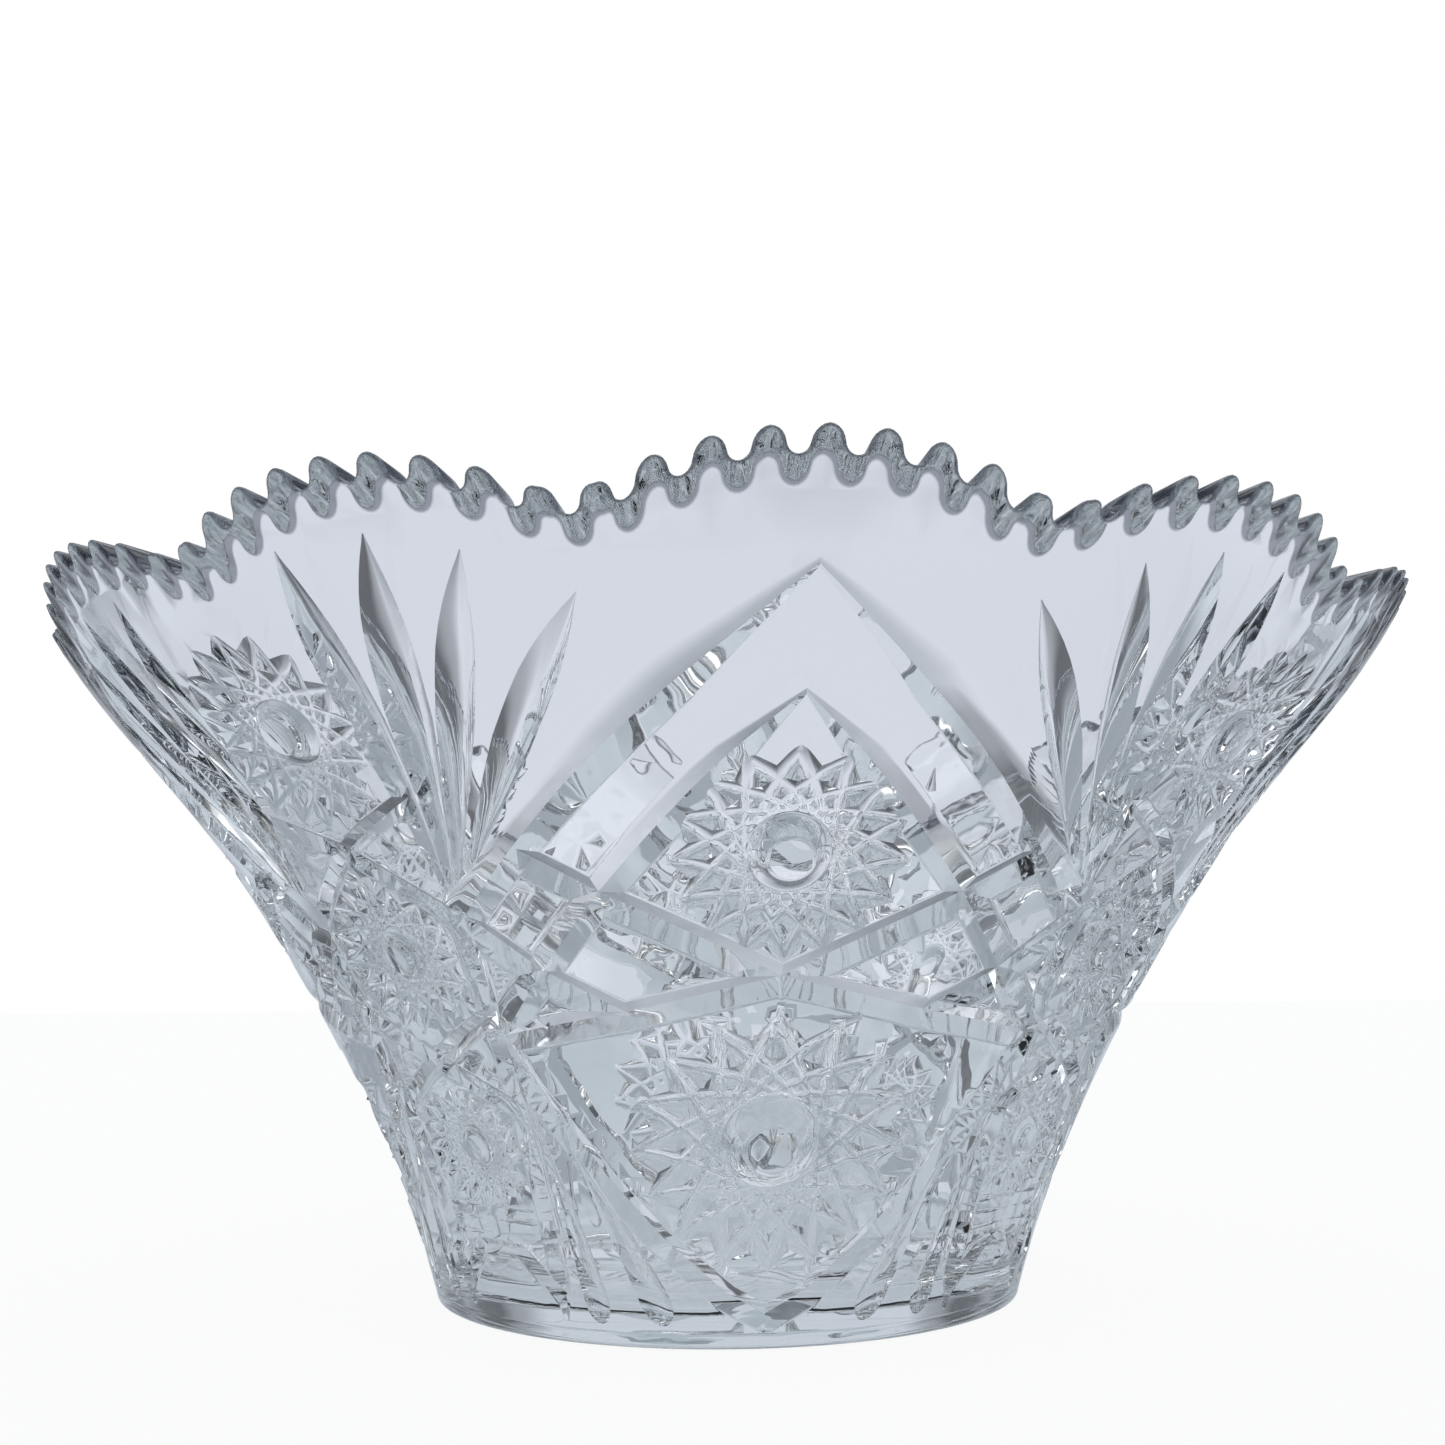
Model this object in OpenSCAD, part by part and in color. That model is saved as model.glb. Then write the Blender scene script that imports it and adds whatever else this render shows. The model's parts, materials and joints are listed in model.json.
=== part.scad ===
// Pressed-glass punch bowl with a scalloped sawtooth rim and a cut-style pattern
// Angles run from the front arch panel, z runs up from the table, sizes are in millimetres

/* [Overall sizes] */
// Rim diameter across the outer corners of the highest teeth
rim_d = 300; // [280:1:330]
// Height from the table to the highest teeth
bowl_h = 144; // [138:1:160]
// Diameter of the foot on the table
foot_d = 126; // [116:1:136]
// Height of the plain foot disc, which is also the floor of the bowl
foot_h = 6; // [5:0.5:7]
// Bevel round the lower edge of the foot
foot_bevel = 1.2; // [0.6:0.1:2]
// Glass thickness, measured square to the wall
wall_t = 7; // [6:0.1:9]
// Radius of the hollow corner between floor and wall
cove_r = 10; // [6:0.5:14]
// Radius of the point that the flare is drawn towards
flare_r = 81; // [76:0.5:86]
// Height of the point that the flare is drawn towards
flare_z = 63; // [58:0.5:68]
// Height where the wall starts to swell towards the lip
lip_z = 93; // [88:0.5:98]
// Most that the wall swells out below the lip
lip_swell = 2.7; // [1:0.1:4]

/* [Rim] */
// Drop from the top of a scallop to the valley beside it
scallop_drop = 9; // [6:0.5:11]
// Depth of a notch between two teeth
tooth_depth = 3.7; // [3:0.1:5]
// Share of a tooth's curve that its round tip takes, the rest being the round notch
tip_share = 0.59; // [0.45:0.01:0.7]
// Teeth on one scallop
teeth = 9; // [5:2:11]

/* [Layout] */
// Angle that one column of stars takes up
column_span = 22.5; // [20:0.5:25]
// Height where the fans and the panel border meet
border_z = 76.6; // [74:0.2:79]
// Height where the lower diagonals leave the panel border
knee_z = 55.8; // [53:0.2:58]

/* [Arch panel] */
// Height of the tip of the outer arch
arch_z = 126.5; // [122:0.5:129]
// Height of the tip of the inner arch
inner_z = 110; // [106:0.5:113]
// Height of the crossing on the middle line
cross_z = 65.6; // [64:0.2:67]
// Height of the lowest point of the lower chevron
vee_z = 8.5; // [8:0.1:12]
// Angle of the upper crossing, from the middle line
knot_a = 18.3; // [17:0.1:20]
// Height of the upper crossing
knot_z = 79.7; // [78:0.1:81]
// Angle where the upper diagonal ends on the outer arch
shoulder_a = 25.8; // [24.5:0.1:27]
// Height where the upper diagonal ends on the outer arch
shoulder_z = 87; // [85.5:0.1:88.5]
// Angle of the outer crossing, from the middle line
hip_a = 26.3; // [25:0.1:27.5]
// Height of the outer crossing
hip_z = 66.9; // [65.5:0.1:68]
// Angle where the lens and the lower diagonal meet
lens_a = 17.5; // [16:0.1:19]
// Height where the lens and the lower diagonal meet
lens_z = 59.7; // [58.5:0.1:61]

/* [Cuts] */
// Half width of a wide mitre on the arches
arch_w = 4; // [3:0.1:5]
// Depth of a wide mitre on the arches
arch_d = 2.4; // [1.6:0.1:3]
// Half width of a mitre on the diagonals
line_w = 2.6; // [2:0.1:3.2]
// Depth of a mitre on the diagonals
line_d = 1.8; // [1.2:0.1:2.4]
// Half width of the flat along the bottom of a panel border
border_f = 0.4; // [0.3:0.1:0.6]
// Half width of a leaf in a fan
leaf_w = 4.2; // [3.4:0.1:4.8]
// Depth of a leaf in a fan
leaf_d = 2.6; // [1.8:0.1:3]
// Height of a cutter above the glass
clear_h = 1.5; // [1:0.1:2]

/* [Stars] */
// Points on each star
points = 16; // [12:2:20]
// Depth of the cuts between the points
star_d = 2.2; // [1.6:0.1:2.6]
// Radius of the upper star in the arch panel
upper_r = 20.5; // [18:0.5:22]
// Height of the upper star in the arch panel
upper_z = 86; // [84:0.5:88]
// Radius of the lower star in the arch panel
lower_r = 25; // [22:0.5:27]
// Height of the lower star in the arch panel
lower_z = 36.5; // [34:0.5:39]
// Radius of the top star in a column
top_r = 18.5; // [16:0.5:19.5]
// Height of the top star in a column
top_z = 108; // [106:0.5:111]
// Radius of the middle star in a column
mid_r = 15; // [13:0.5:16]
// Height of the middle star in a column
mid_z = 70; // [68:0.5:72]
// Radius of the low star in a column
low_r = 12.2; // [11:0.2:13]
// Height of the low star in a column
low_z = 34; // [32:0.5:36]

/* [Hidden] */
repeats = 4;
repeat_a = 360 / repeats;
scallops = 3;
scallop_a = repeat_a / scallops;
tooth_a = scallop_a / teeth;
edge_a = (repeat_a - column_span) / 2;
mid_a = repeat_a / 2;
foot_r = foot_d / 2;
rim_r = rim_d / 2;
top_extra = 1;
past_a = 0.7;
wall_steps = 13;
lip_bend = 1.55;
glass = [0.80, 0.86, 0.90];
deg = 180 / PI;

// Outer profile of the wall, a curve that flares from the foot and swells again below the lip
function prof_t(z) = z / (flare_z + sqrt(flare_z * flare_z + (bowl_h - 2 * flare_z) * z));
function lip_u(z) = max(0, (z - lip_z) / (bowl_h - lip_z));
function wall_r(z) = let (t = prof_t(z))
    (1 - t) * (1 - t) * foot_r + 2 * t * (1 - t) * flare_r + t * t * rim_r
    + lip_swell * sin(180 * pow(lip_u(z), lip_bend));

// How far the wall leans out in one millimetre of height, and its length there
function lean(z) = let (t = prof_t(z), u = lip_u(z))
    ((1 - t) * (flare_r - foot_r) + t * (rim_r - flare_r)) / ((1 - t) * flare_z + t * (bowl_h - flare_z))
    + lip_swell * PI * lip_bend * pow(u, lip_bend - 1) * cos(180 * pow(u, lip_bend)) / (bowl_h - lip_z);
function stretch(z) = norm([lean(z), 1]);

// Point at a height on the profile, moved square to it by h
function prof(z, h) = [wall_r(z) + h / stretch(z), z - h * lean(z) / stretch(z)];

// Point on the wall at angle a and height z, moved out by h
function at(a, z, h) = let (p = prof(z, h)) [p[0] * sin(a), -p[0] * cos(a), p[1]];

// Place on the wall reached from p by x along the circle and y up the wall
function shift(p, x, y) = let (z = p[1] + y / stretch(p[1])) [p[0] + x / wall_r(z) * deg, z];

// Direction from p to q on the wall, in millimetres along the circle and up the wall
function heading(p, q) = let (z = (p[1] + q[1]) / 2,
    d = [(q[0] - p[0]) / deg * wall_r(z), (q[1] - p[1]) * stretch(z)]) d / norm(d);

// Straight run of places from p to q in n steps, without the last one
function run(p, q, n) = [for (i = [0 : n - 1]) p + (q - p) * i / n];

// Solid lofted through sections of equal length
module loft(s) {
    m = len(s[0]);
    n = len(s);
    sides = [for (i = [0 : n - 2]) for (j = [0 : m - 1])
        let (a = i * m + j, b = i * m + (j + 1) % m)
        each [[a, a + m, b + m], [a, b + m, b]]];
    first = [for (j = [0 : m - 1]) j];
    last = [for (j = [m - 1 : -1 : 0]) (n - 1) * m + j];
    polyhedron([for (k = s) each k], concat([first], sides, [last]));
}

// Side direction of a path at place i, stretched where the path turns
function side(path, i) = let (n = len(path),
    a = heading(path[max(i - 1, 0)], path[max(i, 1)]),
    b = heading(path[min(i, n - 2)], path[min(i + 1, n - 1)]),
    c = (a + b) / norm(a + b), k = 1 / max(c * a, 0.4)) [-c[1], c[0]] * k;

// One V section of a cut at place p with half width w and depth d at the glass
function vee(p, s, w, d, k) = let (e = k * (d + clear_h), a = shift(p, s[0] * e, s[1] * e),
    b = shift(p, -s[0] * e, -s[1] * e))
    [at(a[0], a[1], clear_h), at(b[0], b[1], clear_h), at(p[0], p[1], -d)];

// The same section with a flat of half width f along its bottom
function tray(p, s, w, d, f) = let (e = f + (w - f) / d * (d + clear_h),
    a = shift(p, s[0] * e, s[1] * e), b = shift(p, -s[0] * e, -s[1] * e),
    c = shift(p, -s[0] * f, -s[1] * f), g = shift(p, s[0] * f, s[1] * f))
    [at(a[0], a[1], clear_h), at(b[0], b[1], clear_h), at(c[0], c[1], -d), at(g[0], g[1], -d)];

// V cut along a path on the wall
module mitre(path, w, d) {
    loft([for (i = [0 : len(path) - 1]) vee(path[i], side(path, i), w, d, w / d)]);
}

// Leaf cut from p to q, deepest a little past the middle and running out at both ends
module leaf(p, q, w, d) {
    n = 7;
    path = concat(run(p, q, n), [q]);
    loft([for (i = [0 : n]) let (u = pow(i / n, 1.6))
        vee(path[i], side(path, i), w, 4 * d * u * (1 - u), w / d)]);
}

// Star of raised points round a button, as the solid that cuts it
module star(a, z, r) {
    n = points;
    half = 180 / n;
    skip = floor(n * 0.375);
    k1 = cos(skip * half);
    x1 = k1 / cos((skip - 1) * half);
    x2 = k1 / cos((skip - 2) * half);
    x3 = k1 / cos((skip - 3) * half);
    rings = [[1.04, 0, clear_h], [x1 + 0.14, half, clear_h], [x1, half, -star_d],
        [x1 + 0.08, 0, -star_d * 0.1], [x2, 0, -star_d], [x2 + 0.03, half, -star_d * 0.4],
        [x3, half, -star_d], [k1, 0, -star_d], [k1 * 0.6, 0, -star_d * 0.1]];
    flat = concat([for (g = rings) for (k = [0 : n - 1])
        g[0] * r * [sin(g[1] + 2 * half * k), cos(g[1] + 2 * half * k)]], [[0, 0], [0, 0]]);
    high = concat([for (g = rings) for (k = [0 : n - 1]) g[2]], [-star_d * 0.1, clear_h]);
    hub = len(rings) * n;
    floor_faces = [for (k = [0 : n - 1]) let (i = (k + 1) % n)
        each [[k, n + k, 2 * n + k], [n + k, i, 2 * n + k],
        [k, 2 * n + k, 3 * n + k], [i, 2 * n + k, 3 * n + i],
        [3 * n + k, 2 * n + k, 4 * n + k], [3 * n + i, 2 * n + k, 4 * n + i],
        [2 * n + k, 4 * n + k, 5 * n + k], [2 * n + k, 4 * n + i, 5 * n + k],
        [5 * n + k, 4 * n + k, 6 * n + k], [5 * n + k, 4 * n + i, 6 * n + k],
        [4 * n + i, 6 * n + k, 6 * n + i], [6 * n + k, 6 * n + i, 7 * n + i],
        [6 * n + k, 7 * n + k, 7 * n + i], [7 * n + k, 7 * n + i, 8 * n + k],
        [7 * n + i, 8 * n + k, 8 * n + i], [8 * n + k, 8 * n + i, hub]]];
    top_faces = [for (k = [0 : n - 1]) each [[k, n + k, hub + 1], [n + k, (k + 1) % n, hub + 1]]];
    turn = function (f) cross(flat[f[1]] - flat[f[0]], flat[f[2]] - flat[f[0]]);
    faces = concat([for (f = floor_faces) turn(f) > 0 ? f : [f[0], f[2], f[1]]],
        [for (f = top_faces) turn(f) < 0 ? f : [f[0], f[2], f[1]]]);
    polyhedron([for (i = [0 : len(flat) - 1]) let (p = shift([a, z], flat[i][0], flat[i][1]))
        at(p[0], p[1], high[i])], faces);
}

// Wall between two angles, from the foot up past the rim
module wall(a0, a1) {
    z1 = bowl_h + top_extra;
    outer = [for (i = [0 : wall_steps]) prof(foot_h + (z1 - foot_h) * i / wall_steps, 0)];
    inner = [for (i = [wall_steps : -1 : 1]) prof(foot_h + cove_r + (z1 - foot_h - cove_r)
        * (i - 1) / (wall_steps - 1), -wall_t)];
    low = inner[len(inner) - 1];
    cove = [for (i = [1 : 3]) [low[0] - cove_r * (1 - cos(30 * i)),
        low[1] - (low[1] - foot_h) * sin(30 * i)]];
    rotate([0, 0, a0 - 90])
        rotate_extrude(angle = a1 - a0, $fn = 180)
            polygon(concat(outer, inner, cove));
}

// Height of the rim at a tooth tip
function tip_z(a) = let (b = a - scallop_a * round(a / scallop_a), u = 2 * b / scallop_a)
    bowl_h - scallop_drop * u * u;

// Notch between tooth tips k and k + 1, with everything above it
module notch(k) {
    half = (rim_r + 4) * tan(tooth_a / 2);
    z0 = tip_z(k * tooth_a);
    z1 = tip_z((k + 1) * tooth_a);
    turn = 2 * atan(tooth_depth / half);
    tip_r = tip_share * half / sin(turn);
    gap_r = half / sin(turn) - tip_r;
    fall = concat([for (t = [0, turn / 2, turn]) [tip_r * sin(t), tip_r * (1 - cos(t))]],
        [for (t = [turn / 2, 0]) [half - gap_r * sin(t), tooth_depth - gap_r * (1 - cos(t))]]);
    level = (z0 + z1) / 2;
    rise = (z1 - z0) / 2 / half;
    left = [for (p = fall) [p[0] - half, level + rise * (p[0] - half) - p[1]]];
    right = [for (i = [len(fall) - 2 : -1 : 0]) let (p = fall[i])
        [half - p[0], level + rise * (half - p[0]) - p[1]]];
    top = bowl_h + wall_t + 2 * top_extra;
    rotate([90, 0, (k + 0.5) * tooth_a])
        translate([0, 0, rim_r / 2])
            linear_extrude(height = rim_r)
                polygon(concat(left, right, [[half, top], [-half, top]]));
}

// Fan of leaves that spring from the top of a panel border
module fan(first) {
    root = [edge_a, border_z];
    tips = [[edge_a + 1.6, arch_z + 5.5], [edge_a - 5.3, arch_z + 6],
        [edge_a - 11.5, arch_z + 2.7], [edge_a - 18.8, arch_z - 4.3]];
    for (i = [first : first == 0 ? 0 : 3])
        let (q = tips[i])
            leaf(root + (q - root) * 0.12, q, leaf_w, leaf_d);
}

// Border line of a panel, from the fan down to the foot
module border() {
    path = concat(run([edge_a, foot_h - 4], [edge_a, border_z + 2], 6), [[edge_a, border_z + 2]]);
    loft([for (i = [0 : len(path) - 1]) tray(path[i], side(path, i), line_w, line_d, border_f)]);
}

// Cuts on one half of the arch panel, whose other half mirrors it
module arch_half() {
    tip1 = [0, arch_z];
    tip2 = [0, inner_z];
    knot = [knot_a, knot_z];
    hip = [hip_a, hip_z];
    lens = [lens_a, lens_z];
    cross_p = [0, cross_z];
    corner = [edge_a + past_a, border_z];
    knee = [edge_a + past_a, knee_z];
    vee_p = [0, vee_z];
    foot_p = [edge_a - 2, foot_h + 3];
    border();
    fan(1);
    fan(0);
    for (u = [0.12, 0.36, 0.62])
        let (q = foot_p + (vee_p + [6, 0] - foot_p) * u)
            leaf(knee + (q - knee) * 0.3, q, leaf_w * 0.6, leaf_d * 0.8);
    mitre(concat(run(tip1, corner, 5), [corner]), arch_w, arch_d);
    mitre(concat(run(tip2, knot, 4), run(knot, hip, 2), run(hip, knee, 2), [knee]), arch_w * 0.8, arch_d);
    mitre(concat(run(cross_p, knot, 3), run(knot, [shoulder_a, shoulder_z], 2), [[shoulder_a, shoulder_z]]),
        line_w, line_d);
    mitre(concat(run(corner, hip, 2), run(hip, lens, 2), [lens]), line_w, line_d);
    mitre(concat(run(cross_p, lens, 3), run(lens, knee, 3), [knee]), line_w, line_d);
    mitre(concat(run(knee, vee_p, 6), [vee_p]), line_w, line_d);
}

// Half space beside the middle line of a panel
module right_half() {
    translate([0, -2 * rim_r, 0])
        cube([2 * rim_r, 2 * rim_r, 2 * bowl_h]);
}

// Arch panel that faces the front
module arch_body() {
    count = ceil(edge_a / tooth_a);
    difference() {
        wall(-edge_a, edge_a);
        for (k = [-count : count - 1])
            notch(k);
        for (m = [0, 1])
            mirror([m, 0, 0])
                intersection() {
                    arch_half();
                    right_half();
                }
        star(0, upper_z, upper_r);
        star(0, lower_z, lower_r);
    }
}

// Diagonals that cross between two stars of a column
module crossing(z, up, down) {
    for (m = [-1, 1]) {
        b = mid_a + m * (column_span / 2 + past_a);
        c = mid_a - m * (column_span / 2 + past_a);
        path = concat(run([b, z - down], [mid_a, z], 2), run([mid_a, z], [c, z + up], 2), [[c, z + up]]);
        mitre(path, line_w * 0.8, line_d * 0.85);
    }
}

// Column of stars between the front panel and the next one
module column_body() {
    first = floor(edge_a / tooth_a);
    last = ceil((edge_a + column_span) / tooth_a);
    difference() {
        wall(edge_a, edge_a + column_span);
        for (k = [first : last - 1])
            notch(k);
        border();
        rotate([0, 0, repeat_a])
            mirror([1, 0, 0])
                border();
        fan(0);
        rotate([0, 0, repeat_a])
            mirror([1, 0, 0])
                fan(0);
        crossing((top_z - top_r + mid_z + mid_r) / 2, 8, 12);
        crossing((mid_z - mid_r + low_z + low_r) / 2, 8, 8);
        star(mid_a, top_z, top_r);
        star(mid_a, mid_z, mid_r);
        star(mid_a, low_z, low_r);
    }
}

module foot() {
    color(glass)
        rotate_extrude($fn = 180)
            polygon([[0, 0], [foot_r - foot_bevel, 0], [foot_r, foot_bevel], prof(foot_h, 0), [0, foot_h]]);
}

module arch_panel(i) {
    color(glass * (i % 2 == 0 ? 1 : 0.93))
        rotate([0, 0, repeat_a * (i - 1)])
            arch_body();
}

module star_column(i) {
    color(glass * (i % 2 == 0 ? 0.86 : 0.8))
        rotate([0, 0, repeat_a * (i - 1)])
            column_body();
}

foot();
arch_panel(1);  // arch_panel_1
arch_panel(2);  // arch_panel_2
arch_panel(3);  // arch_panel_3
arch_panel(4);  // arch_panel_4
star_column(1);  // star_column_1
star_column(2);  // star_column_2
star_column(3);  // star_column_3
star_column(4);  // star_column_4
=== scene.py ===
import json
import math
import bmesh
import bpy
import numpy as np
from mathutils import Matrix

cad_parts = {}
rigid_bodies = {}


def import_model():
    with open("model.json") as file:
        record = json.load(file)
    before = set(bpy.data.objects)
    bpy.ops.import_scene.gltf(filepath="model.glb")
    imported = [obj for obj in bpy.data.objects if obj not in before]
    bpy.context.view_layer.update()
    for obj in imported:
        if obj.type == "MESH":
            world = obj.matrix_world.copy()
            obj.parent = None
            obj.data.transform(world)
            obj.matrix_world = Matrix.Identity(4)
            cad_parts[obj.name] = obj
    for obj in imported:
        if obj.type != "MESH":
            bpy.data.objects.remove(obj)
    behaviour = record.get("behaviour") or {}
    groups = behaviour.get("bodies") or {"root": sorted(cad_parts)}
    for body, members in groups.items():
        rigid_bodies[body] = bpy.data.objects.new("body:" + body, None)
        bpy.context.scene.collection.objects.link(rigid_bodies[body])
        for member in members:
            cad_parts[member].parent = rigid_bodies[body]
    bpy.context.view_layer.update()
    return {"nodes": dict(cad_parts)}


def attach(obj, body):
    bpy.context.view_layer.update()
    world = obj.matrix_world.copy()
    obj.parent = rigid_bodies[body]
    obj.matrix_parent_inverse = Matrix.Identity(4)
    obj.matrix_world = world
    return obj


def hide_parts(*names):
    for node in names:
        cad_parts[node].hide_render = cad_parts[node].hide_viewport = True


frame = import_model()

# Sizes of the bowl in millimetres, the same as those of the solids
RIM_R = 150.0
BOWL_H = 144.0
FOOT_R = 63.0
FOOT_H = 6.0
FOOT_EDGE = 1.2
WALL_T = 7.0
COVE_R = 10.0
FLARE_R = 81.0
FLARE_Z = 63.0
LIP_Z = 93.0
LIP_SWELL = 2.7
LIP_BEND = 1.55
SCALLOP_DROP = 9.0
TOOTH_DEPTH = 3.7
TIP_SHARE = 0.59
TEETH = 9
REPEATS = 4

# Radius of the rim's two rounded edges, in millimetres
RIM_ROUND = 1.1

# Angles round the bowl in degrees: a scallop, a tooth, the border of the arch panel and the middle of the star column
SCALLOP_A = 30.0
TOOTH_A = SCALLOP_A / TEETH
EDGE_A = 33.75
MID_A = 45.0

# Angle of the camera round the bowl, in degrees
VIEW_A = 6.08

# The inner side of the wall is square to the outer side low down and lies nearly level behind it at the rim
LEVEL_Z = 95.0
LEVEL_RUN = 33.0
LEVEL_WAY = (-1.0, -0.09)
LIFT_Z = 100.0

# Faces that meet at less than these angles share a normal, and one that leans little on a seam is set straight
SMOOTH_A = 36
SMOOTH_RIM_A = 30
RIM_BAND = 12
SEAM_LEAN = 0.16

# The pattern is cut into a flat sheet of half a repeat, with x round the bowl and y up the wall in degrees of arc
SHEET_T = 12.0
SHEET_Z0 = 3.0
SHEET_Z1 = 146.0

# Degrees in a radian, metres in a millimetre, and how near counts as the same place
DEG = 180 / math.pi
MM = 0.001
JOIN_M = 0.000004
ON_EDGE = 1e-4
TINY = 1e-15

# Half width of the floor and its height, just below the foot, in metres
FLOOR_HALF = 6.0
FLOOR_Z = -0.0004


def unit(rows):
    return rows / np.maximum(np.linalg.norm(rows, axis=-1), TINY)[..., None]


def wall_r(z):
    t = z / (FLARE_Z + np.sqrt(FLARE_Z ** 2 + (BOWL_H - 2 * FLARE_Z) * z))
    u = np.maximum(0, (z - LIP_Z) / (BOWL_H - LIP_Z))
    swell = LIP_SWELL * np.sin(math.pi * u ** LIP_BEND)
    return (1 - t) ** 2 * FOOT_R + 2 * t * (1 - t) * FLARE_R + t ** 2 * RIM_R + swell


Z_STEPS = np.linspace(-4, 152, 3121)
R_STEPS = wall_r(Z_STEPS)
SLOPE = np.gradient(R_STEPS, Z_STEPS)
ARC = np.sqrt(1 + SLOPE ** 2) / R_STEPS * DEG
Q_STEPS = np.concatenate([[0], np.cumsum((ARC[1:] + ARC[:-1]) / 2 * np.diff(Z_STEPS))])
Q_STEPS -= np.interp(0, Z_STEPS, Q_STEPS)


def sheet_y(z):
    return np.interp(z, Z_STEPS, Q_STEPS)


def wall_z(y):
    return np.interp(y, Q_STEPS, Z_STEPS)


def per_mm(y):
    """Sheet units in one millimetre of wall at y."""
    return DEG / wall_r(wall_z(y))


def spot(angle, z):
    return np.array([angle, float(sheet_y(z))])


# Cutters on the sheet

def solid(name, verts, faces, store):
    """A closed mesh that points outwards, kept in the store of cutters."""
    mesh = bpy.data.meshes.new(name)
    mesh.from_pydata([tuple(map(float, v)) for v in verts], [], faces)
    bm = bmesh.new()
    bm.from_mesh(mesh)
    if bm.calc_volume(signed=True) < 0:
        bmesh.ops.reverse_faces(bm, faces=bm.faces)
    bm.to_mesh(mesh)
    bm.free()
    obj = bpy.data.objects.new(name, mesh)
    store.objects.link(obj)
    return obj


def loft(name, sections, store):
    n, m = len(sections), len(sections[0])
    faces = [(i * m + j, i * m + (j + 1) % m, (i + 1) * m + (j + 1) % m, (i + 1) * m + j)
             for i in range(n - 1) for j in range(m)]
    faces += [tuple(range(m))[::-1], tuple(range((n - 1) * m, n * m))]
    return solid(name, np.concatenate(sections), faces, store)


def headings(path):
    """Side directions of a path, stretched at its corners so that a cut keeps its width."""
    legs = unit(np.diff(path, axis=0))
    before = np.vstack([legs[:1], legs])
    after = np.vstack([legs, legs[-1:]])
    mid = unit(before + after)
    k = 1 / np.maximum((mid * before).sum(1), 0.35)
    return np.stack([-mid[:, 1], mid[:, 0]], 1) * k[:, None]


def along(corners, step):
    """A path through corners with points between them."""
    out = []
    for p, q in zip(corners[:-1], corners[1:]):
        n = max(1, int(round(np.linalg.norm(q - p) / step)))
        out += [p + (q - p) * i / n for i in range(n)]
    return np.array(out + [corners[-1]])


def vee(half, depth, soft):
    """Section of a mitre in millimetres across its path, its two shoulders rounded to the radii soft."""
    slope = math.atan2(depth, half)
    first = math.radians(4)
    sides = []
    for radius in soft:
        reach = radius * math.tan(slope / 2)
        lift = radius * (1 - math.cos(first))
        side = [(half + reach - radius * math.sin(t), lift - radius * (1 - math.cos(t)))
                for t in np.linspace(slope, first, 6)]
        x, z = side[-1]
        sides.append(side + [(x + 0.4, z + 0.4 * math.tan(first)), (x + 0.4, 0.9)])
    upper, lower = sides
    return np.array([(-x, z) for x, z in lower[::-1]] + [(0.0, -depth)] + upper)


def mitre(corners, half, depth, store, step=3.0, soft=(0.8, 0.8), fade=None):
    """V cut through corners: half width, depth and shoulder radii, left of its way first, in millimetres."""
    path = along(corners, step)
    side = headings(path)
    run = np.concatenate([[0], np.cumsum(np.linalg.norm(np.diff(path, axis=0), axis=1))])
    run /= run[-1]
    sections = []
    for p, s, u in zip(path, side, run):
        k = per_mm(p[1])
        f = 1.0 if fade is None else fade(u)
        shape = vee(half * f, depth * f, [r * f for r in soft]) * k
        sections.append(np.column_stack([p + s * shape[:, :1], shape[:, 1]]))
    return loft("mitre", sections, store)


def leaf(root, tip, half, depth, store, blunt=False, steps=16, across=12):
    """Hollow of a leaf that widens from its root: pointed with a crease, or blunt with a round bed."""
    axis = (tip - root) / np.linalg.norm(tip - root)
    s = np.array([-axis[1], axis[0]])
    u = np.linspace(0, 1, steps + 1)
    if blunt:
        e = np.sin(np.linspace(-1, 1, across + 1) * 1.35) / math.sin(1.35)
        shape = 0.04 - (1 - e ** 2)
        u = np.sin(u * math.pi / 2)
        wide = u ** 0.85 * np.sqrt(np.clip(1 - np.clip((u - 0.86) / 0.14, 0, 1) ** 2, 0, 1))
    else:
        low = 0.08
        left, right = np.linspace(-1, low, across // 2 + 2), np.linspace(low, 1, across // 2)
        e = np.concatenate([left, right[1:]])
        shape = 0.04 - (1 - (np.abs(e - low) / np.where(e > low, 1 - low, 1 + low)) ** 1.3)
        u = 1 - (1 - u) ** 1.5
        wide = np.where(u > 0.72, 1 - ((u - 0.72) / 0.28) ** 2, np.clip(u / 0.58, 0, 1) ** 0.9)
    sections = []
    for v, f in zip(u, np.maximum(wide, 0.03)):
        p = root + (tip - root) * v
        k = per_mm(p[1])
        rows = p + s * (half * k * f * e)[:, None]
        sections.append(np.column_stack([rows, shape * depth * k * f ** 0.9]))
    return loft("leaf", sections, store)


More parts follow.
